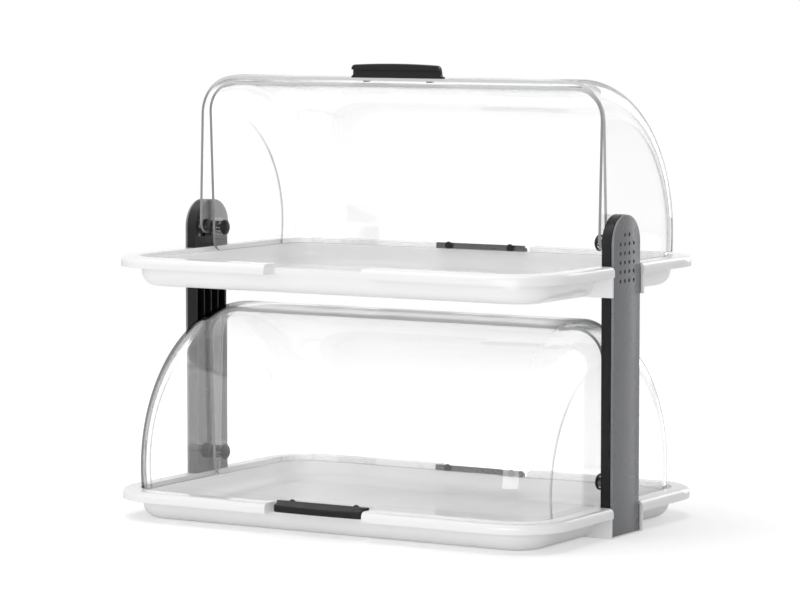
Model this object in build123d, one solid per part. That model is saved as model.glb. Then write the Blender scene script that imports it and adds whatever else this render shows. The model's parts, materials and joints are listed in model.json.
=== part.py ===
from build123d import *
from math import asin, cos, degrees, radians, sin, sqrt, tan
import os

# Two-tier countertop bread display bin: two moulded trays between a pair of side posts,
# each tray closed by a front and a rear clear hood that swing on shared side pins.
#
# Frame: X runs along the long side, -Y is the customer's (front) side, +Z is up.
# The origin is the middle of the base, on the surface that the bin stands on.
# All sizes are millimetres.

# ---- trays ----
tray_length = 440.0
tray_width = 308.0
tray_corner = 50.0           # plan radius of the rim's outer corner
rim_height = 8.8             # lower edge of the rim band to the broad top of the rim
rim_wall = 2.4
rim_round = 4.6              # outer top edge
ledge_drop = 4.1             # top of the rim down to the ledge that the hoods close on
ledge_gap = 0.7              # hood to the step round the ledge
pan_inset = 18.0             # outside of the rim to the outside of the pan
pan_depth = 17.3             # lower edge of the rim band down to the base
pan_wall = 2.5
floor_thickness = 2.5
pan_bottom_round = 13.0      # outside radius between the pan's wall and its floor
tier_air = 11.3              # an opened hood's handle to the base of the tray above

# ---- hoods ----
pivot_rise = 26.5            # lower edge of the rim band up to the hinge axis
hood_front_inset = 16.0      # outside of the rim to the front hood's largest reach
hood_end_inset = 16.5        # end of the rim to the outside of the front hood's end wall
hood_corner = 33.0           # outside radius between the curved shell and the end wall
hood_wall = 2.5
nest_gap = 3.5               # air between the curved shells of the front and the rear hood
end_gap = 1.0                # air between their end walls
centre_overlap = 5.8         # how far each hood's centre edge passes the hinge axis
centre_lean = 2.5            # degrees; the centre edge passes it further towards the top
foot_corner = 10.0           # rounded bottom corner of the end wall, below the hinge

# ---- handles ----
handle_length = 92.0
handle_reach = 10.9          # outside of the hood to the outside of the handle
handle_arch = 1.3            # the middle of the handle stands this much further out than its ends
handle_height = 9.6          # at the hood
handle_slope = 0.3           # fall of its top face per millimetre outwards
handle_skirt = 3.9           # how far the grip hangs below the hood's lower edge
handle_corner = 3.6
handle_flare = 1.6           # the ends widen to the hood in a hollow curve of this radius
handle_edge_round = 1.4
handle_peg_diameter = 4.4    # two pegs go through the hood's wall
handle_peg_head = 6.6
handle_peg_head_height = 0.9
handle_peg_spread = 64.0
recess_clearance = 2.4       # handle's end to the end of its recess in the rim
recess_ledge = 1.0           # ledge left in front of the pan's wall in the recess
recess_corner = 2.2

# ---- posts ----
post_width = 48.6
post_rise = 24.9             # upper hinge axis to the top of the post
post_depth = 11.5            # inside of the frame to the outside of the cover
hinge_space = 2.5            # front hood's end wall to the inside of the frame
post_foot_gap = 1.0          # lower end of the post above the surface
cover_thickness = 2.2
cover_edge_round = 0.9
shadow_gap = 0.7             # groove between frame and cover
shadow_depth = 1.6
collar_width = 2.2           # the frame is this much wider on both sides where it passes a tray
collar_top = 2.0             # top of the collar below the top of the rim
frame_wall = 2.4
channel_rib = 1.3
channel_ribs = 3
plate_above_pivot = 7.4      # top of the closed plate round the lower hinge
channel_top_gap = 8.0        # top of the open channel below the upper tray's base
window_height = 15.6         # windows beside the upper hinge
window_margin = 1.2
peg_diameter = 4.0
peg_length = 4.6
peg_socket_wall = 1.6

# ---- perforations in the cover ----
vent_diameter = 3.5
vent_step_across = 8.0
vent_step_down = 7.8
vent_rows = 6
vent_columns = 4
vent_top = 8.0               # first row above the upper hinge axis
vent_top_row_columns = 2

# ---- hinge pins and spacers ----
pin_diameter = 6.0
pin_head_diameter = 14.0
pin_head_height = 3.6
pin_head_edge = 1.0          # straight edge of the domed head
pin_barb_diameter = 7.4
pin_barb_length = 2.6
pin_slot = 1.4
hood_bore_clearance = 0.06   # radial
post_bore_clearance = 0.05   # radial
hood_ring_diameter = 11.4
hood_boss_length = 6.0       # clear boss inside the rear hood's end wall, under the pin's head
spacer_diameter = 15.0
hinge_boss_diameter = 16.0
hinge_boss_height = 2.0      # boss behind the frame's plate

# ---- screws that hold the frames to the trays ----
screw_diameter = 3.5
screw_head_diameter = 7.0
screw_head_height = 2.3
screw_bite = 3.8             # thread in the tray's socket wall
screw_spread = 24.0
screw_below_rim = 7.0        # screw axis below the rim's lower edge
screw_recess = 2.2
screw_recess_depth = 1.2

# ---- sockets in the trays ----
socket_wall = 2.3
socket_proud = 1.3           # the socket's side walls stand out past the cover

# ---- running and seating clearances ----
seat_gap = 0.3               # between a moving piece and what it rests on
slide_gap = 0.3              # post in its socket
snug_gap = 0.05              # fixed pieces that fit into each other
float_gap = 0.15             # axial play along the hinge pins

# ---- worked out from the sizes above ----
half_length = tray_length / 2
half_width = tray_width / 2
hood_radius = half_width - hood_front_inset            # outside of the front hood, about the hinge
hood_half_length = half_length - hood_end_inset
ledge_level = pan_depth + rim_height - ledge_drop
rim_top = pan_depth + rim_height
lower_pivot = pan_depth + pivot_rise
tier_pitch = lower_pivot + hood_radius + handle_reach + tier_air   # one tray to the next
upper_pivot = lower_pivot + tier_pitch
foot_drop = lower_pivot - ledge_level - seat_gap      # hinge axis down to a hood's lower edge
ledge_half_length = hood_half_length + ledge_gap
ledge_half_width = sqrt(hood_radius ** 2 - (lower_pivot - rim_top) ** 2) + ledge_gap
ledge_corner = hood_corner + ledge_gap
pan_half_length = half_length - pan_inset
pan_half_width = half_width - pan_inset
pan_corner = tray_corner - pan_inset
recess_depth_line = pan_half_width + recess_ledge
rear_radius = hood_radius - hood_wall - nest_gap
rear_half_length = hood_half_length - hood_wall - end_gap
rear_corner = hood_corner - hood_wall - nest_gap
handle_foot = foot_drop + handle_skirt                 # hinge axis down to the handle's underside
post_inner_face = hood_half_length + hinge_space
post_outer_face = post_inner_face + post_depth
socket_reach = post_outer_face + socket_proud
post_half_width = post_width / 2
post_top = upper_pivot + post_rise
cover_back = post_outer_face - cover_thickness
plate_back = post_inner_face + frame_wall
socket_face = post_inner_face - slide_gap
socket_half_width = post_half_width + collar_width + slide_gap
skirt_setback = recess_depth_line + seat_gap - rear_radius  # the skirt hangs in front of the ledge
# The front hood opens until its centre edge lies on the sloping top of the rear hood's handle.
inner_radius = hood_radius - hood_wall
rest_drop = handle_foot - handle_height + handle_slope * nest_gap - seat_gap
centre_angle = centre_lean + degrees(asin(centre_overlap * cos(radians(centre_lean)) / inner_radius))
open_angle = 90 + degrees(asin(rest_drop / inner_radius)) - centre_angle
big = 2 * tray_length        # side of a cutting block


def rounded_prism(length, width, corner, bottom, top):
    """A block with rounded vertical corners, between two heights."""
    return Pos(0, 0, bottom) * extrude(RectangleRounded(length, width, corner), top - bottom)


def block(x_from, x_to, y_from, y_to, z_from, z_to):
    """A plain block given by its limits."""
    middle = Pos((x_from + x_to) / 2, (y_from + y_to) / 2, (z_from + z_to) / 2)
    return middle * Box(x_to - x_from, y_to - y_from, z_to - z_from)


def rod(diameter, x_from, x_to, y, z):
    """A round bar along X."""
    length = x_to - x_from
    return Pos((x_from + x_to) / 2, y, z) * Rot(0, 90, 0) * Cylinder(diameter / 2, length)


def side_mirror(shape):
    """The same piece on the other short side."""
    return mirror(shape, about=Plane.YZ)


# ---------------------------------------------------------------- trays
def screw_places(base):
    """Y and Z of the two frame screws of the tray that stands at this height."""
    height = base + pan_depth - screw_below_rim
    return [(side * screw_spread / 2, height) for side in (-1, 1)]


def pan_body():
    """The outside of the pan, with its big bottom radius."""
    body = rounded_prism(2 * pan_half_length, 2 * pan_half_width, pan_corner, 0, ledge_level)
    return fillet(body.edges().group_by(Axis.Z)[0], pan_bottom_round)


def pan_hollow():
    """The inside of the pan, one wall smaller all round."""
    length = 2 * (pan_half_length - pan_wall)
    width = 2 * (pan_half_width - pan_wall)
    corner = pan_corner - pan_wall
    hollow = rounded_prism(length, width, corner, floor_thickness, rim_top + 1)
    return fillet(hollow.edges().group_by(Axis.Z)[0], pan_bottom_round - pan_wall)


def ledge_prism(grow, bottom, top):
    """The outline of the step round the ledge, between two heights."""
    return rounded_prism(
        2 * (ledge_half_length + grow), 2 * (ledge_half_width + grow), ledge_corner + grow, bottom, top,
    )


def handle_recess(grow=0.0):
    """What is cut out of the rim in front of one handle: round inner corners, open outwards."""
    half = handle_length / 2 + recess_clearance + grow
    line = recess_depth_line - grow
    depth = half_width + 5 - line
    shape = Pos(0, -(line + depth / 2), 0) * Rectangle(2 * half, depth)
    inner_corners = shape.vertices().group_by(Axis.Y)[-1]
    shape = fillet(inner_corners, recess_corner + grow)
    return Pos(0, 0, pan_depth - 1) * extrude(shape, rim_height + 2)


def rim_body():
    """The rim: a ledge, a step up to a broad top all round it and a down-turned band outside."""
    outside = rounded_prism(tray_length, tray_width, tray_corner, pan_depth, rim_top)
    outside = fillet(outside.edges().group_by(Axis.Z)[-1], rim_round)
    rim = outside - ledge_prism(0, ledge_level, rim_top + 1)
    # hollow from below, one wall thick, with walls left round both recesses
    under = rounded_prism(
        tray_length - 2 * rim_wall, tray_width - 2 * rim_wall, tray_corner - rim_wall,
        pan_depth - 1, rim_top - rim_wall,
    )
    under = fillet(under.edges().group_by(Axis.Z)[-1], rim_round - rim_wall)
    under -= ledge_prism(rim_wall, ledge_level - rim_wall, rim_top)
    for recess in (handle_recess(rim_wall), mirror(handle_recess(rim_wall), about=Plane.XZ)):
        under -= recess
    return rim - under


def post_socket():
    """The walls round a post: under the rim down to the base, and in front of its inner face."""
    walls = socket_half_width + socket_wall
    outer = block(pan_half_length - pan_bottom_round, socket_reach, -walls, walls, 0, ledge_level)
    upper = block(ledge_half_length, half_length - rim_round, -walls, walls, ledge_level - 1, rim_top)
    return outer - pan_hollow() + upper


def post_slot():
    """The room for a post, open to the short side, at the top and at the base."""
    return block(socket_face, half_length + 5, -socket_half_width, socket_half_width, -5, rim_top + 5)


def tray(base):
    """One moulded tray, standing at this height."""
    body = rim_body() + pan_body() - pan_hollow()
    recess = handle_recess()
    body -= recess
    body -= mirror(recess, about=Plane.XZ)
    for place in (lambda piece: piece, side_mirror):
        body += place(post_socket())
        body -= place(post_slot())
        for y, z in screw_places(0):
            hole = rod(screw_diameter - 2 * snug_gap, socket_face - screw_bite, socket_face + 1, y, z)
            body -= place(hole)
    return Pos(0, 0, base) * body


# ---------------------------------------------------------------- hoods
def hood_solid(radius, half, corner):
    """A full drum with rounded rims about the X axis, the outside or inside of a hood."""
    profile = make_face(
        Polyline((-half, 0), (half, 0), (half, radius), (-half, radius), (-half, 0)).edges()
    )
    profile = fillet(profile.vertices().group_by(Axis.Y)[-1], corner)
    return revolve(profile, Axis.X)


def hood_side_outline(radius):
    """The part of the drum that a closed front hood keeps: front of the hinge, above the ledge."""
    reach = radius + 5
    lean = tan(radians(centre_lean))
    edge_foot = centre_overlap - foot_drop * lean
    edge_top = centre_overlap + reach * lean
    outline = make_face(
        Polyline(
            (-reach, -foot_drop), (edge_foot, -foot_drop), (edge_top, reach),
            (-reach, reach), (-reach, -foot_drop),
        ).edges()
    )
    corner = outline.vertices().sort_by_distance((edge_foot, -foot_drop))[0]
    outline = fillet(corner, foot_corner)
    return extrude(Plane.YZ * outline, big / 2, both=True)


def handle_peg(side, radius, diameter, depth):
    """One of a handle's two pegs: a round bar square to the hood, this deep behind its outside."""
    height = (handle_height - handle_skirt) / 2 - foot_drop
    length = depth + hood_wall
    bar = Pos(side * handle_peg_spread / 2, depth - radius - length / 2, 0) * Rot(90, 0, 0)
    return Rot(-degrees(asin(height / radius)), 0, 0) * bar * Cylinder(diameter / 2, length)


def hood(radius, half, corner, ring_height, boss_length):
    """A closed front hood about the X axis. Rings round its bores face outwards, bosses inwards."""
    shell = hood_solid(radius, half, corner) - hood_solid(
        radius - hood_wall, half - hood_wall, corner - hood_wall
    )
    shell &= hood_side_outline(radius)
    for side in (-1, 1):
        if ring_height:
            near, far = sorted((side * (half - hood_wall / 2), side * (half + ring_height)))
            shell += rod(hood_ring_diameter, near, far, 0, 0)
        if boss_length:
            near, far = sorted((side * (half - hood_wall / 2), side * (half - hood_wall - boss_length)))
            shell += rod(hood_ring_diameter, near, far, 0, 0)
        near = side * (half - 2 * hood_wall - boss_length)
        near, far = sorted((near, side * (half + nest_gap + end_gap)))
        shell -= rod(pin_diameter + 2 * hood_bore_clearance, near, far, 0, 0)
        shell -= handle_peg(side, radius, handle_peg_diameter + 2 * snug_gap, 2 * hood_wall)
    return shell


def handle(radius):
    """The handle of a closed front hood about the X axis, pegged on to the hood's outside."""
    surface = sqrt(radius ** 2 - handle_foot ** 2)
    outer = radius + handle_reach - handle_arch
    end = handle_length / 2
    tip_end = end - handle_flare
    waist = radius + handle_flare
    # plan: hollow flares at the hood, straight ends, a slightly arched front
    plan = make_face([
        *Polyline((-end, -radius), (-end, 0), (end, 0), (end, -radius)).edges(),
        RadiusArc((end, -radius), (tip_end, -waist), -handle_flare),
        Line((tip_end, -waist), (tip_end, -outer)),
        ThreePointArc((tip_end, -outer), (0, -outer - handle_arch), (-tip_end, -outer)),
        Line((-tip_end, -outer), (-tip_end, -waist)),
        RadiusArc((-tip_end, -waist), (-end, -radius), -handle_flare),
    ])
    corners = plan.vertices().filter_by(lambda vertex: vertex.Y < -outer + 0.1)
    plan = fillet(corners, handle_corner)
    body = Pos(0, 0, -handle_foot) * extrude(plan, handle_height)
    # side view: flat underside, top falling outwards
    tip = outer + 2 * handle_arch
    drop = handle_slope * (tip - surface)
    side = make_face(
        Polyline(
            (0, -handle_foot), (-tip, -handle_foot), (-tip, -handle_foot + handle_height - drop),
            (-surface, -handle_foot + handle_height), (0, -handle_foot + handle_height),
            (0, -handle_foot),
        ).edges()
    )
    body &= extrude(Plane.YZ * side, end + 1, both=True)
    front_edges = [edge for edge in body.edges() if edge.center().Y < -outer + handle_corner * 0.2
                   and abs(edge.center().X) < tip_end - handle_corner]
    body = fillet(front_edges, handle_edge_round)
    # the grip hangs in front of the ledge, and the rest stops level with the hood's edge
    body -= block(-end - 1, end + 1, -radius - skirt_setback, 1, -handle_foot - 1, -foot_drop)
    body -= rod(2 * (radius + snug_gap), -end - 1, end + 1, 0, 0)
    inside = hood_wall + 2 * snug_gap
    for side in (-1, 1):
        body += handle_peg(side, radius, handle_peg_diameter, inside)
        head = handle_peg(side, radius, handle_peg_head, inside + handle_peg_head_height)
        body += head - handle_peg(side, radius, handle_peg_head + 1, inside)
    return body


def swung(shape, pivot, angle, rear):
    """Puts a hood or handle on its hinge: turned back by the angle, or made a rear one first."""
    if rear:
        shape = mirror(shape, about=Plane.XZ)
        angle = -angle
    return Pos(0, 0, pivot) * Rot(-angle, 0, 0) * shape


# ---------------------------------------------------------------- posts
def post_outline(grow=0.0):
    """The post seen from the short side: straight flanks and a half-round top."""
    half = post_half_width + grow
    bottom = post_foot_gap - grow
    spring = post_top - post_half_width
    return make_face([
        Line((-half, spring), (-half, bottom)),
        Line((-half, bottom), (half, bottom)),
        Line((half, bottom), (half, spring)),
        ThreePointArc((half, spring), (0, spring + half), (-half, spring)),
    ])


def post_slab(x_from, x_to, grow=0.0):
    """The post's outline as a slab between two distances from the middle of the bin."""
    return Pos(x_from, 0, 0) * extrude(Plane.YZ * post_outline(grow), x_to - x_from)


def zone(z_from, z_to):
    """A horizontal slice of the post."""
    return block(0, big, -big, big, z_from, z_to)


def peg_heights():
    """Heights of the cover's pegs: beside each hinge, and two along the channel."""
    lower = (lower_pivot + pan_depth - screw_below_rim) / 2
    upper = upper_pivot - vent_top - (vent_rows - 1) * vent_step_down + peg_length
    channel = (lower_pivot + plate_above_pivot, upper_channel_end())
    step = (channel[1] - channel[0]) / 3
    return lower, channel[0] + step, channel[1] - step, upper


def upper_channel_end():
    """Where the open channel stops under the upper tray."""
    return tier_pitch - channel_top_gap


def collar(base):
    """The wider part of the frame that fills a tray's socket, level with the cover's outside."""
    half = post_half_width + collar_width
    bottom = base + post_foot_gap
    ears = block(post_inner_face, post_outer_face - cover_edge_round, -half, half, bottom,
                 base + rim_top - collar_top)
    ears = fillet(ears.edges().filter_by(Axis.X).group_by(Axis.Z)[-1], collar_width)
    return ears - block(cover_back, big, -post_half_width - snug_gap, post_half_width + snug_gap, 0, big)


def post_frame():
    """The load-bearing inner half of a right-hand post."""
    body = post_slab(post_inner_face, cover_back)
    for base in (0, tier_pitch):
        body += collar(base)
    inside = -frame_wall
    channel = zone(lower_pivot + plate_above_pivot, upper_channel_end())
    # hollows behind the closed plates, open towards the cover
    hollow = post_slab(plate_back, cover_back + 1, inside)
    lower_hollow = hollow & zone(0, lower_pivot + plate_above_pivot - frame_wall)
    upper_hollow = hollow & zone(upper_channel_end() + frame_wall, big)
    body -= lower_hollow
    body -= upper_hollow
    # open channel towards the bread, with its ribs
    opened = post_slab(post_inner_face - 1, cover_back - frame_wall, inside) & channel
    clear_width = post_width - 2 * frame_wall
    rib_step = clear_width / (channel_ribs + 1)
    for number in range(channel_ribs):
        y = -clear_width / 2 + rib_step * (number + 1)
        opened -= block(0, big, y - channel_rib / 2, y + channel_rib / 2, 0, big)
    body -= opened
    # bosses of the hinge pins, sockets of the cover's pegs
    for pivot in (lower_pivot, upper_pivot):
        body += rod(hinge_boss_diameter, post_inner_face, plate_back + hinge_boss_height, 0, pivot)
    for z in peg_heights():
        outside = peg_diameter + 2 * (snug_gap + peg_socket_wall)
        if z < lower_pivot + plate_above_pivot or z > upper_channel_end():
            body += rod(outside, post_inner_face + 0.5, cover_back, 0, z)
    for z in peg_heights():
        body -= rod(peg_diameter + 2 * snug_gap, cover_back - peg_length - snug_gap, cover_back + 1, 0, z)
    # windows on both sides of the upper hinge
    for side in (-1, 1):
        near = hinge_boss_diameter / 2 + window_margin
        far = post_half_width - frame_wall - window_margin
        body -= block(
            post_inner_face - 1, plate_back, min(side * near, side * far),
            max(side * near, side * far),
            upper_pivot - window_height / 2, upper_pivot + window_height / 2,
        )
    # hinge and screw bores, with a seat for each screw head
    for pivot in (lower_pivot, upper_pivot):
        body -= rod(pin_diameter + 2 * post_bore_clearance, post_inner_face - 1, cover_back, 0, pivot)
    for base in (0, tier_pitch):
        for y, z in screw_places(base):
            body -= rod(screw_diameter + 2 * snug_gap, post_inner_face - 1, plate_back + 1, y, z)
    # shadow groove all round, beside the cover
    groove = post_slab(cover_back - shadow_gap, cover_back + 1)
    groove -= post_slab(cover_back - shadow_gap - 1, cover_back + 2, -shadow_depth)
    return body - groove


def post_cover():
    """The perforated outer plate of a right-hand post, held by its pegs."""
    plate = post_slab(cover_back, post_outer_face)
    rim = plate.faces().sort_by(Axis.X)[-1].edges()
    plate = fillet(rim, cover_edge_round)
    for z in peg_heights():
        plate += rod(peg_diameter, cover_back - peg_length, cover_back + cover_thickness / 2, 0, z)
    for row in range(vent_rows):
        columns = vent_top_row_columns if row == 0 else vent_columns
        for column in range(columns):
            y = (column - (columns - 1) / 2) * vent_step_across
            z = upper_pivot + vent_top - row * vent_step_down
            plate -= rod(vent_diameter, cover_back - 1, post_outer_face + 1, y, z)
    return plate


# ---------------------------------------------------------------- small parts
def hinge_pin(pivot):
    """A right-hand headed pin, snapped into the frame behind its boss."""
    head_back = rear_half_length - hood_wall - hood_boss_length - float_gap
    head_top = head_back - pin_head_height
    shoulder = plate_back + hinge_boss_height + float_gap
    head_radius = pin_head_diameter / 2
    shaft = pin_diameter / 2
    barb = pin_barb_diameter / 2
    tip = shoulder + pin_barb_length
    profile = make_face([
        ThreePointArc(
            (head_top, 0),
            (head_top + pin_head_height * 0.16, head_radius * 0.62),
            (head_back - pin_head_edge, head_radius),
        ),
        *Polyline(
            (head_back - pin_head_edge, head_radius), (head_back, head_radius),
            (head_back, shaft), (shoulder, shaft), (shoulder, barb),
            (tip, shaft * 0.8), (tip, 0), (head_top, 0),
        ).edges(),
    ])
    pin = revolve(profile, Axis.X)
    slot = block(
        post_inner_face + frame_wall, tip + 1, -pin_slot / 2, pin_slot / 2,
        -pin_barb_diameter, pin_barb_diameter,
    )
    return Pos(0, 0, pivot) * (pin - slot)


def hinge_spacer(pivot):
    """A right-hand washer between the frame and the front hood."""
    ring = rod(spacer_diameter, hood_half_length + float_gap, post_inner_face, 0, pivot)
    return ring - rod(pin_diameter + 2 * hood_bore_clearance, hood_half_length - 1,
                      post_inner_face + 1, 0, pivot)


def frame_screw(y, z):
    """A right-hand pan-head screw from inside the frame into the tray's socket wall."""
    head = rod(screw_head_diameter, plate_back, plate_back + screw_head_height, y, z)
    head = fillet(head.faces().sort_by(Axis.X)[-1].edges(), screw_head_height / 3)
    shank = rod(screw_diameter - 4 * snug_gap, socket_face - screw_bite + snug_gap, plate_back + 0.5, y, z)
    recess = block(
        plate_back + screw_head_height - screw_recess_depth, plate_back + screw_head_height + 1,
        y - screw_recess / 8, y + screw_recess / 8, z - screw_recess, z + screw_recess,
    )
    recess += block(
        plate_back + screw_head_height - screw_recess_depth, plate_back + screw_head_height + 1,
        y - screw_recess, y + screw_recess, z - screw_recess / 8, z + screw_recess / 8,
    )
    return head + shank - recess


def write(name, shape):
    """Writes one node."""
    export_step(shape, f"parts/{name}.step")


def as_group(solids):
    """Separate identical solids in one node."""
    return Compound(children=[solid for piece in solids for solid in piece.solids()])


os.makedirs("parts", exist_ok=True)

tiers = {"lower": (0.0, lower_pivot), "upper": (tier_pitch, upper_pivot)}
front_hood = hood(hood_radius, hood_half_length, hood_corner, 0, 0)
rear_hood = hood(rear_radius, rear_half_length, rear_corner, end_gap - float_gap, hood_boss_length)
front_handle = handle(hood_radius)
rear_handle = handle(rear_radius)

for tier, (base, pivot) in tiers.items():
    front_angle = open_angle if tier == "upper" else 0
    write(f"{tier}_tray", tray(base))
    write(f"{tier}_front_hood", swung(front_hood, pivot, front_angle, rear=False))
    write(f"{tier}_front_handle", swung(front_handle, pivot, front_angle, rear=False))
    write(f"{tier}_rear_hood", swung(rear_hood, pivot, 0, rear=True))
    write(f"{tier}_rear_handle", swung(rear_handle, pivot, 0, rear=True))

frame = post_frame()
cover = post_cover()
screws = [frame_screw(y, z) for base, _ in tiers.values() for y, z in screw_places(base)]
for side, place in (("right", lambda piece: piece), ("left", side_mirror)):
    write(f"{side}_post_frame", place(frame))
    write(f"{side}_post_cover", place(cover))
    write(f"{side}_frame_screws", as_group([place(screw) for screw in screws]))
    for tier, (base, pivot) in tiers.items():
        write(f"{tier}_{side}_pin", place(hinge_pin(pivot)))
        write(f"{tier}_{side}_spacer", place(hinge_spacer(pivot)))

print(f"a hood opens {open_angle:.2f} degrees")
print(f"pivots {lower_pivot:.1f} and {upper_pivot:.1f}, post top {post_top:.1f}")
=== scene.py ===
import json
import math

import bpy
from mathutils import Matrix, Vector

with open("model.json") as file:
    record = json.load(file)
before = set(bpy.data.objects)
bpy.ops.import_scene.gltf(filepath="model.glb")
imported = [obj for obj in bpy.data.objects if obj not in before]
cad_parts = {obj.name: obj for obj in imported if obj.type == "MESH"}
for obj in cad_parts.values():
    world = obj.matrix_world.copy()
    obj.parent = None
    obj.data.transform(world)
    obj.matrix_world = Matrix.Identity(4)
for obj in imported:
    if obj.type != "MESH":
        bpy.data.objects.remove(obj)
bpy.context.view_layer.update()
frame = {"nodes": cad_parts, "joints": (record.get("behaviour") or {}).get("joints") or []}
nodes = frame["nodes"]


# ---- Trays --------------------------------------------------------------------------------
# Two identical injection-moulded trays in glossy white ABS: a flat pan under a wide ledge,
# and a raised lip round the outside that keeps the hoods in place. Each is screwed to both posts.

def linear(hex_colour):
    """An sRGB hex colour as linear RGBA."""
    parts = [int(hex_colour[i:i + 2], 16) / 255 for i in (1, 3, 5)]
    return [c / 12.92 if c <= 0.04045 else ((c + 0.055) / 1.055) ** 2.4 for c in parts] + [1.0]


def new_material(name):
    """An empty node material and its output node."""
    material = bpy.data.materials.new(name)
    material.use_nodes = True
    material.node_tree.nodes.clear()
    return material, material.node_tree.nodes.new("ShaderNodeOutputMaterial")


def add(tree, kind, settings=None, inputs=None):
    """Adds a node: settings are its properties, inputs its values or the sockets that feed them."""
    node = tree.nodes.new(kind)
    for name, value in (settings or {}).items():
        setattr(node, name, value)
    for name, value in (inputs or {}).items():
        if isinstance(value, bpy.types.NodeSocket):
            tree.links.new(value, node.inputs[name])
        else:
            node.inputs[name].default_value = value
    return node


mix_first, mix_second, mix_result = 6, 7, 2   # the colour sockets of a Mix node


def per_mm(size_mm):
    """Texture scale at which one cell of a pattern measures this many millimetres."""
    return 1000.0 / size_mm


def finish_node(name, material):
    """Gives a node of the frame its finish."""
    piece = nodes[name]
    piece.data.materials.clear()
    piece.data.materials.append(material)


def glossy_white_abs():
    """Glossy moulded ABS: a bright even white, sharp highlights, a trace of flow in the gloss."""
    flow_mm = 70.0
    peel_mm = 3.0
    peel_depth = 0.0002
    sharpest, softest = 0.14, 0.22
    abs_ior = 1.54
    material, output = new_material("glossy_white_ABS")
    tree = material.node_tree
    place = add(tree, "ShaderNodeTexCoord").outputs["Object"]
    flow = add(tree, "ShaderNodeTexNoise", inputs={
        "Vector": place, "Scale": per_mm(flow_mm), "Detail": 3.0, "Roughness": 0.55,
    }).outputs["Fac"]
    colour = add(tree, "ShaderNodeMix", {"data_type": "RGBA"}, {
        "Factor": flow, mix_first: linear("#EDEEEE"), mix_second: linear("#F4F4F3"),
    }).outputs[mix_result]
    gloss = add(tree, "ShaderNodeMapRange", inputs={
        "Value": flow, "From Min": 0.3, "From Max": 0.7, "To Min": sharpest, "To Max": softest,
    }).outputs["Result"]
    peel = add(tree, "ShaderNodeTexNoise", inputs={
        "Vector": place, "Scale": per_mm(peel_mm), "Detail": 1.0,
    }).outputs["Fac"]
    bump = add(tree, "ShaderNodeBump", inputs={
        "Height": peel, "Strength": 0.05, "Distance": peel_depth,
    }).outputs["Normal"]
    shader = add(tree, "ShaderNodeBsdfPrincipled", inputs={
        "Base Color": colour, "Roughness": gloss, "Normal": bump, "IOR": abs_ior,
    })
    tree.links.new(shader.outputs[0], output.inputs["Surface"])
    return material


white_abs = glossy_white_abs()
for tier in ("lower", "upper"):
    finish_node(f"{tier}_tray", white_abs)


# ---- Hoods --------------------------------------------------------------------------------
# Four clear shells of injection-moulded SAN, 2.5 mm thick. The rear hood of each tier is the
# smaller and nests inside the front one. Their sawn edges are frosted and show as grey lines,
# painted paler near the top. A painted grey along their contours and in the end walls stands
# in for the dark refraction seen through a clear shell.

def hood_edge(tree, hinge_height, turned, towards_rear):
    """1 on the sawn edge of a hood: its centre edge, its foot and the round corner between."""
    edge_past_hinge = 0.0058
    edge_lean = math.radians(2.5)
    foot_below_hinge = 0.0215
    foot_corner = 0.010
    frosted_depth = 0.00012
    own = add(tree, "ShaderNodeMapping", {"vector_type": "TEXTURE"}, {
        "Vector": add(tree, "ShaderNodeTexCoord").outputs["Object"],
        "Location": (0, 0, hinge_height), "Rotation": (turned, 0, 0),
        "Scale": (1, -1 if towards_rear else 1, 1),
    }).outputs["Vector"]
    past_edge = add(tree, "ShaderNodeVectorMath", {"operation": "DOT_PRODUCT"}, {
        0: own, 1: (0, math.cos(edge_lean), -math.sin(edge_lean)),
    }).outputs["Value"]
    past_edge = add(tree, "ShaderNodeMath", {"operation": "ADD"}, {
        0: past_edge, 1: foot_corner - edge_past_hinge * math.cos(edge_lean),
    }).outputs[0]
    height = add(tree, "ShaderNodeSeparateXYZ", inputs={0: own}).outputs["Z"]
    past_foot = add(tree, "ShaderNodeMath", {"operation": "SUBTRACT"}, {
        0: foot_corner - foot_below_hinge, 1: height,
    }).outputs[0]
    past_both = add(tree, "ShaderNodeCombineXYZ", inputs={"Y": past_edge, "Z": past_foot}).outputs[0]
    past_both = add(tree, "ShaderNodeVectorMath", {"operation": "MAXIMUM"}, {
        0: past_both, 1: (0, 0, 0),
    }).outputs["Vector"]
    reach = add(tree, "ShaderNodeVectorMath", {"operation": "LENGTH"}, {0: past_both}).outputs["Value"]
    return add(tree, "ShaderNodeMath", {"operation": "GREATER_THAN"}, {
        0: reach, 1: foot_corner - frosted_depth,
    }).outputs[0]


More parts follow.
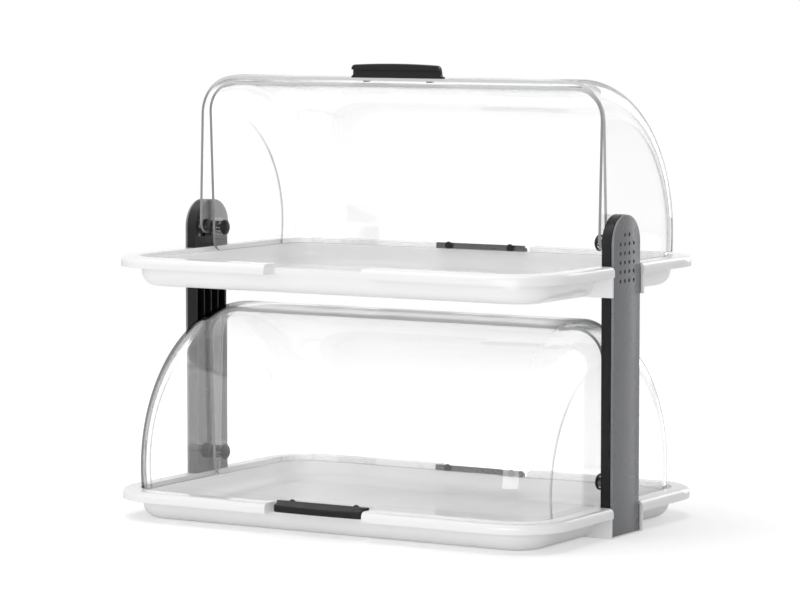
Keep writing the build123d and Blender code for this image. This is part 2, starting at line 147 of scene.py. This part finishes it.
def painted_corner_line(tree, place, hinge_height, line_depth):
    """A painted grey arc on a flat end wall where the rounding to the shell begins, painted shade for
    the dark line that refraction draws there; it fades upwards.
    """
    arc_radius = 0.1062
    wall_from = 0.183
    line_width = 0.0022
    fade_top, fade_foot = 0.100, 0.060
    from_hinge = add(tree, "ShaderNodeVectorMath", {"operation": "SUBTRACT"}, {
        0: place, 1: (0, 0, hinge_height),
    }).outputs["Vector"]
    across = add(tree, "ShaderNodeVectorMath", {"operation": "MULTIPLY"}, {
        0: from_hinge, 1: (0, 1, 1),
    }).outputs["Vector"]
    reach = add(tree, "ShaderNodeVectorMath", {"operation": "LENGTH"}, {0: across}).outputs["Value"]
    line = add(tree, "ShaderNodeMath", {"operation": "COMPARE"}, {
        0: reach, 1: arc_radius, 2: line_width / 2,
    }).outputs[0]
    part = add(tree, "ShaderNodeSeparateXYZ", inputs={0: from_hinge})
    from_middle = add(tree, "ShaderNodeMath", {"operation": "ABSOLUTE"}, {
        0: part.outputs["X"],
    }).outputs[0]
    on_wall = add(tree, "ShaderNodeMath", {"operation": "GREATER_THAN"}, {
        0: from_middle, 1: wall_from,
    }).outputs[0]
    fade = add(tree, "ShaderNodeMapRange", inputs={
        "Value": part.outputs["Z"], "From Min": fade_top, "From Max": fade_foot, "To Max": line_depth,
    }).outputs["Result"]
    line = add(tree, "ShaderNodeMath", {"operation": "MULTIPLY"}, {0: line, 1: on_wall}).outputs[0]
    return add(tree, "ShaderNodeMath", {"operation": "MULTIPLY"}, {0: line, 1: fade}).outputs[0]


def clear_san(name, hinge_height, turned, towards_rear, end_depth, end_spread, slant, arc_depth):
    """Clear polished SAN with moulding waves, and a painted grey where the eye looks along the sheet.

    The painted grey is painted shade for the dark refraction and reflection at the contours of a
    clear shell. Between the two values of slant it reaches its grey, which is deepest in the end
    walls. The spread widens it there, and the arc is a painted grey line where a flat end wall
    turns into the shell.
    """
    san_ior = 1.57
    wave_mm = 90.0
    wave_depth = 0.002
    saw_mm = 1.2              # coarser than real saw marks, so that they show
    middle_depth = 0.06
    end_from, end_to = 0.150, 0.185
    side_glow_through = 0.3
    lift_from, lift_to = 0.118, 0.132
    material, output = new_material(name)
    tree = material.node_tree
    place = add(tree, "ShaderNodeTexCoord").outputs["Object"]
    wave = add(tree, "ShaderNodeTexNoise", inputs={
        "Vector": place, "Scale": per_mm(wave_mm), "Detail": 1.0,
    }).outputs["Fac"]
    bump = add(tree, "ShaderNodeBump", inputs={
        "Height": wave, "Strength": 0.2, "Distance": wave_depth,
    }).outputs["Normal"]
    sheet = add(tree, "ShaderNodeBsdfPrincipled", inputs={
        "Base Color": linear("#FEFEFE"), "Roughness": 0.0, "Normal": bump, "IOR": san_ior,
        "Transmission Weight": 1.0,
    })
    grazing = add(tree, "ShaderNodeLayerWeight", inputs={"Blend": 0.5}).outputs["Facing"]
    part = add(tree, "ShaderNodeSeparateXYZ", inputs={0: place})
    from_middle = add(tree, "ShaderNodeMath", {"operation": "ABSOLUTE"}, {
        0: part.outputs["X"],
    }).outputs[0]
    end = add(tree, "ShaderNodeMapRange", inputs={
        "Value": from_middle, "From Min": end_from, "From Max": end_to,
    }).outputs["Result"]
    grazing = add(tree, "ShaderNodeMath", {"operation": "MULTIPLY_ADD"}, {
        0: end, 1: end_spread, 2: grazing,
    }).outputs[0]
    along = add(tree, "ShaderNodeMapRange", {"interpolation_type": "SMOOTHSTEP"}, {
        "Value": grazing, "From Min": slant[0], "From Max": slant[1], "To Max": end_depth,
    }).outputs["Result"]
    depth = add(tree, "ShaderNodeMath", {"operation": "MULTIPLY_ADD"}, {
        0: end, 1: 1 - middle_depth, 2: middle_depth,
    }).outputs[0]
    depth = add(tree, "ShaderNodeMath", {"operation": "MULTIPLY"}, {0: along, 1: depth}).outputs[0]
    # The painted grey arc of the corner line is laid over the painted grey of the sheet.
    if arc_depth:
        depth = add(tree, "ShaderNodeMath", {"operation": "MAXIMUM"}, {
            0: depth, 1: painted_corner_line(tree, place, hinge_height, arc_depth),
        }).outputs[0]
    # Painted shade: a transparent grey sheet that stands in for the dark refraction and reflection
    # along the sheet and in the end walls.
    grey = add(tree, "ShaderNodeBsdfTransparent", inputs={"Color": linear("#B7B8B9")})
    sheet = add(tree, "ShaderNodeMixShader", inputs={0: depth, 1: sheet.outputs[0], 2: grey.outputs[0]})
    saw = add(tree, "ShaderNodeTexNoise", inputs={
        "Vector": place, "Scale": per_mm(saw_mm), "Detail": 2.0,
    }).outputs["Fac"]
    edge_colour = add(tree, "ShaderNodeMix", {"data_type": "RGBA"}, {
        "Factor": saw, mix_first: linear("#9C9D9E"), mix_second: linear("#AEAFB0"),
    }).outputs[mix_result]
    # Painted highlight: the sawn edge is painted paler near the top of the hood, and lets less through
    # there, where light from above falls on it.
    painted_top_light = add(tree, "ShaderNodeMapRange", inputs={
        "Value": part.outputs["Z"],
        "From Min": hinge_height + lift_from, "From Max": hinge_height + lift_to,
    }).outputs["Result"]
    edge_colour = add(tree, "ShaderNodeMix", {"data_type": "RGBA"}, {
        "Factor": painted_top_light, mix_first: edge_colour, mix_second: linear("#CBCCCD"),
    }).outputs[mix_result]
    frosted = add(tree, "ShaderNodeBsdfPrincipled", inputs={
        "Base Color": edge_colour, "Roughness": 0.45, "IOR": san_ior,
    })
    through = add(tree, "ShaderNodeBsdfTransparent", inputs={"Color": linear("#E8E9E9")})
    glow_through = add(tree, "ShaderNodeMath", {"operation": "MULTIPLY_ADD"}, {
        0: painted_top_light, 1: -side_glow_through, 2: side_glow_through,
    }).outputs[0]
    edge = add(tree, "ShaderNodeMixShader", inputs={
        0: glow_through, 1: frosted.outputs[0], 2: through.outputs[0],
    })
    on_edge = hood_edge(tree, hinge_height, turned, towards_rear)
    hood = add(tree, "ShaderNodeMixShader", inputs={
        0: on_edge, 1: sheet.outputs[0], 2: edge.outputs[0],
    })
    shadow = add(tree, "ShaderNodeBsdfTransparent", inputs={"Color": linear("#FCFCFC")})
    path = add(tree, "ShaderNodeLightPath").outputs["Is Shadow Ray"]
    mix = add(tree, "ShaderNodeMixShader", inputs={0: path, 1: hood.outputs[0], 2: shadow.outputs[0]})
    tree.links.new(mix.outputs[0], output.inputs["Surface"])
    return material


def joint_named(name):
    """A joint of the frame."""
    return next(joint for joint in frame["joints"] if joint["name"] == name)


# How deep the painted grey lies on each hood: along its contours, in its end walls and on the corner
# arc.
hood_looks = {
    "lower_front": {"end_depth": 1.0, "end_spread": 0.12, "slant": (0.68, 0.82), "arc_depth": 0.4},
    "lower_rear": {"end_depth": 0.6, "end_spread": 0.0, "slant": (0.80, 0.92), "arc_depth": 0.15},
    "upper_front": {"end_depth": 0.45, "end_spread": 0.05, "slant": (0.68, 0.82), "arc_depth": 0.0},
    "upper_rear": {"end_depth": 0.6, "end_spread": 0.0, "slant": (0.80, 0.92), "arc_depth": 0.46},
}
upper_front_hinge = joint_named("upper_front_hood_hinge")
for hood, looks in hood_looks.items():
    hinge_height = joint_named(f"{hood}_hood_hinge")["pos_m"][2]
    # The upper front hood rests open, turned back by its whole range.
    turned = math.radians(min(upper_front_hinge["range_deg"])) if hood == "upper_front" else 0.0
    towards_rear = hood.endswith("rear")
    san = clear_san(f"clear_SAN_{hood}", hinge_height, turned, towards_rear, **looks)
    finish_node(f"{hood}_hood", san)


# ---- Handles, hinge pins and spacers ------------------------------------------------------
# Black ABS mouldings with a fine satin texture. Handles are pegged to the hoods' lower edges,
# pins snap through both hoods of a tier into the posts, spacers sit between hood and post.

def satin_abs(name, dark, light, roughness, sheen, crown=0.0):
    """Spark-textured moulded ABS: fine grain that breaks up the highlights.

    A crown, in 1/m, bends the reflections across a slightly domed plate.
    """
    abs_ior = 1.54
    grain_mm = 0.5            # coarser than the real texture, so that it shows
    grain_depth = 0.0001
    cloud_mm = 25.0
    rough_swing = 0.04
    material, output = new_material(name)
    tree = material.node_tree
    place = add(tree, "ShaderNodeTexCoord").outputs["Object"]
    cloud = add(tree, "ShaderNodeTexNoise", inputs={
        "Vector": place, "Scale": per_mm(cloud_mm), "Detail": 4.0,
    }).outputs["Fac"]
    colour = add(tree, "ShaderNodeMix", {"data_type": "RGBA"}, {
        "Factor": cloud, mix_first: linear(dark), mix_second: linear(light),
    }).outputs[mix_result]
    rough = add(tree, "ShaderNodeMapRange", inputs={
        "Value": cloud, "From Min": 0.3, "From Max": 0.7,
        "To Min": roughness - rough_swing, "To Max": roughness + rough_swing,
    }).outputs["Result"]
    grain = add(tree, "ShaderNodeTexNoise", inputs={
        "Vector": place, "Scale": per_mm(grain_mm), "Detail": 2.0,
    }).outputs["Fac"]
    bump = add(tree, "ShaderNodeBump", inputs={
        "Height": grain, "Strength": 0.2, "Distance": grain_depth,
    }).outputs["Normal"]
    if crown:
        across = add(tree, "ShaderNodeSeparateXYZ", inputs={0: place}).outputs["Y"]
        squared = add(tree, "ShaderNodeMath", {"operation": "MULTIPLY"}, {
            0: across, 1: across,
        }).outputs[0]
        swell = add(tree, "ShaderNodeMath", {"operation": "MULTIPLY"}, {
            0: squared, 1: -crown,
        }).outputs[0]
        bump = add(tree, "ShaderNodeBump", inputs={
            "Height": swell, "Strength": 1.0, "Distance": 1.0, "Normal": bump,
        }).outputs["Normal"]
    shader = add(tree, "ShaderNodeBsdfPrincipled", inputs={
        "Base Color": colour, "Roughness": rough, "Normal": bump, "IOR": abs_ior,
        "Specular IOR Level": sheen,
    })
    tree.links.new(shader.outputs[0], output.inputs["Surface"])
    return material


black_abs = satin_abs("satin_black_ABS", "#0E0E0F", "#151516", roughness=0.34, sheen=0.25)
for tier in ("lower", "upper"):
    for side in ("front", "rear"):
        finish_node(f"{tier}_{side}_handle", black_abs)
    for side in ("left", "right"):
        finish_node(f"{tier}_{side}_pin", black_abs)
        finish_node(f"{tier}_{side}_spacer", black_abs)


# ---- Posts --------------------------------------------------------------------------------
# Each post is a black moulded channel with a dark grey cover plate pegged on outside it,
# perforated near the top. Pan-head screws behind the cover hold the channel to the trays.

grey_abs = satin_abs("satin_grey_ABS", "#747578", "#7A7B7E", roughness=0.28, sheen=0.5, crown=7.0)
for side in ("left", "right"):
    finish_node(f"{side}_post_frame", black_abs)
    finish_node(f"{side}_post_cover", grey_abs)


def zinc_plated_steel():
    """Zinc-plated screw steel: pale bluish metal, slightly mottled."""
    mottle_mm = 1.5
    smoothest, roughest = 0.25, 0.4
    material, output = new_material("zinc_plated_steel")
    tree = material.node_tree
    place = add(tree, "ShaderNodeTexCoord").outputs["Object"]
    mottle = add(tree, "ShaderNodeTexNoise", inputs={
        "Vector": place, "Scale": per_mm(mottle_mm), "Detail": 3.0,
    }).outputs["Fac"]
    colour = add(tree, "ShaderNodeMix", {"data_type": "RGBA"}, {
        "Factor": mottle, mix_first: linear("#B4B8BB"), mix_second: linear("#C9CCCE"),
    }).outputs[mix_result]
    rough = add(tree, "ShaderNodeMapRange", inputs={
        "Value": mottle, "To Min": smoothest, "To Max": roughest,
    }).outputs["Result"]
    shader = add(tree, "ShaderNodeBsdfPrincipled", inputs={
        "Base Color": colour, "Roughness": rough, "Metallic": 1.0,
    })
    tree.links.new(shader.outputs[0], output.inputs["Surface"])
    return material


zinc = zinc_plated_steel()
for side in ("left", "right"):
    finish_node(f"{side}_frame_screws", zinc)


# ---- Studio -------------------------------------------------------------------------------
# White paper that runs out into a white backdrop, lit by an even sky and four soft boxes: one
# above, one at the left, one low in front and one behind.

def seen_directly(tree, mirrored, bounced=0.0):
    """1 for rays from the camera or through a clear hood; less for mirror images, bounced light."""
    path = add(tree, "ShaderNodeLightPath")
    seen = add(tree, "ShaderNodeMath", {"operation": "MAXIMUM"}, {
        0: path.outputs["Is Camera Ray"], 1: path.outputs["Is Transmission Ray"],
    }).outputs[0]
    seen = add(tree, "ShaderNodeMath", {"operation": "MULTIPLY_ADD"}, {
        0: path.outputs["Is Diffuse Ray"], 1: bounced, 2: seen,
    }).outputs[0]
    return add(tree, "ShaderNodeMath", {"operation": "MULTIPLY_ADD", "use_clamp": True}, {
        0: path.outputs["Is Glossy Ray"], 1: mirrored, 2: seen,
    }).outputs[0]


def backdrop_white(tree, plain):
    """Strength of the white backdrop: more through a hood, which mirrors some of it away."""
    hood_loss = 0.12
    path = add(tree, "ShaderNodeLightPath")
    return add(tree, "ShaderNodeMath", {"operation": "MULTIPLY_ADD"}, {
        0: path.outputs["Is Transmission Ray"], 1: hood_loss, 2: plain,
    }).outputs[0]


def white_paper():
    """Seamless paper: white where nothing shades it, keeps the soft shadow, fades into the sweep."""
    fibre_mm = 9.0            # coarser than real fibre, so that it shows
    glow_strength = 0.32
    mirrored, bounced = 0.15, 0.4
    fade_from, fade_to = 0.9, 1.8
    material, output = new_material("white_paper")
    tree = material.node_tree
    place = add(tree, "ShaderNodeTexCoord").outputs["Object"]
    fibre = add(tree, "ShaderNodeTexNoise", inputs={
        "Vector": place, "Scale": per_mm(fibre_mm), "Detail": 2.0,
    }).outputs["Fac"]
    colour = add(tree, "ShaderNodeMix", {"data_type": "RGBA"}, {
        "Factor": fibre, mix_first: linear("#F0F0F0"), mix_second: linear("#F3F3F3"),
    }).outputs[mix_result]
    paper = add(tree, "ShaderNodeBsdfDiffuse", inputs={"Color": colour})
    glow = add(tree, "ShaderNodeEmission", inputs={
        "Color": (1, 1, 1, 1), "Strength": backdrop_white(tree, glow_strength),
    })
    lit = add(tree, "ShaderNodeAddShader", inputs={0: paper.outputs[0], 1: glow.outputs[0]})
    sweep = add(tree, "ShaderNodeEmission", inputs={
        "Color": (1, 1, 1, 1), "Strength": backdrop_white(tree, 1.0),
    })
    away = add(tree, "ShaderNodeVectorMath", {"operation": "LENGTH"}, {0: place}).outputs["Value"]
    fade = add(tree, "ShaderNodeMapRange", {"interpolation_type": "SMOOTHSTEP"}, {
        "Value": away, "From Min": fade_from, "From Max": fade_to,
    }).outputs["Result"]
    white = add(tree, "ShaderNodeMixShader", inputs={0: fade, 1: lit.outputs[0], 2: sweep.outputs[0]})
    mix = add(tree, "ShaderNodeMixShader", inputs={
        0: seen_directly(tree, mirrored, bounced), 1: paper.outputs[0], 2: white.outputs[0],
    })
    tree.links.new(mix.outputs[0], output.inputs["Surface"])
    return material


floor_size = 40.0
floor_mesh = bpy.data.meshes.new("floor")
half = floor_size / 2
floor_mesh.from_pydata(
    [(-half, -half, 0), (half, -half, 0), (half, half, 0), (-half, half, 0)], [], [(0, 1, 2, 3)]
)
floor = bpy.data.objects.new("floor", floor_mesh)
bpy.context.scene.collection.objects.link(floor)
floor.data.materials.append(white_paper())

world = bpy.data.worlds.new("studio")
bpy.context.scene.world = world
world.use_nodes = True
world_tree = world.node_tree
world_tree.nodes.clear()
world_out = add(world_tree, "ShaderNodeOutputWorld")
ambient_strength = 0.46
ambient = add(world_tree, "ShaderNodeBackground", inputs={
    "Color": (1, 1, 1, 1), "Strength": ambient_strength,
})
backdrop = add(world_tree, "ShaderNodeBackground", inputs={
    "Color": (1, 1, 1, 1), "Strength": backdrop_white(world_tree, 1.0),
})
world_mix = add(world_tree, "ShaderNodeMixShader", inputs={
    0: seen_directly(world_tree, 1.0), 1: ambient.outputs[0], 2: backdrop.outputs[0],
})
world_tree.links.new(world_mix.outputs[0], world_out.inputs["Surface"])


def soft_lamp(name, place, aim, width, height, power):
    """A rectangular soft box aimed at a point."""
    light = bpy.data.lights.new(name, "AREA")
    light.shape = "RECTANGLE"
    light.size = width
    light.size_y = height
    light.energy = power
    lamp = bpy.data.objects.new(name, light)
    lamp.location = place
    lamp.rotation_euler = (Vector(aim) - Vector(place)).to_track_quat("-Z", "Y").to_euler()
    lamp.visible_camera = False
    lamp.visible_transmission = False
    bpy.context.scene.collection.objects.link(lamp)


soft_lamp("overhead", place=(-0.4, -0.2, 2.2), aim=(0, 0, 0.2), width=2.2, height=2.2, power=23)
soft_lamp("key_left", place=(-2.1, -1.9, 1.75), aim=(0, 0, 0.6), width=1.7, height=2.6, power=7)
soft_lamp("front_fill", place=(0.5, -2.4, 0.35), aim=(0, 0, 0.05), width=2.0, height=0.6, power=17)
soft_lamp("rear_strip", place=(0.35, 2.5, 0.9), aim=(0, 0, 0.2), width=1.0, height=1.6, power=14)


# ---- Camera -------------------------------------------------------------------------------
# It stands to the right of the object and a little above it, some three metres away, with a
# long lens, so that the long sides stay nearly parallel.

camera_place = Vector((1.6239, -2.7019, 0.4674))
camera_yaw = math.radians(31.107)
camera_pitch = math.radians(5.004)
camera_roll = math.radians(-0.005)
focal_px = 3613.2
image_width_px = 800

forward = Vector((
    -math.sin(camera_yaw) * math.cos(camera_pitch),
    math.cos(camera_yaw) * math.cos(camera_pitch),
    -math.sin(camera_pitch),
))
right = forward.cross(Vector((0, 0, 1))).normalized()
up = right.cross(forward)
right, up = (
    right * math.cos(camera_roll) + up * math.sin(camera_roll),
    up * math.cos(camera_roll) - right * math.sin(camera_roll),
)
lens = bpy.data.cameras.new("camera")
lens.sensor_width = 36.0
lens.lens = focal_px / image_width_px * lens.sensor_width
lens.clip_end = 50.0
camera = bpy.data.objects.new("camera", lens)
camera.matrix_world = Matrix((
    (right.x, up.x, -forward.x, camera_place.x),
    (right.y, up.y, -forward.y, camera_place.y),
    (right.z, up.z, -forward.z, camera_place.z),
    (0, 0, 0, 1),
))
bpy.context.scene.collection.objects.link(camera)
bpy.context.scene.camera = camera
bpy.context.scene.view_settings.view_transform = "Standard"
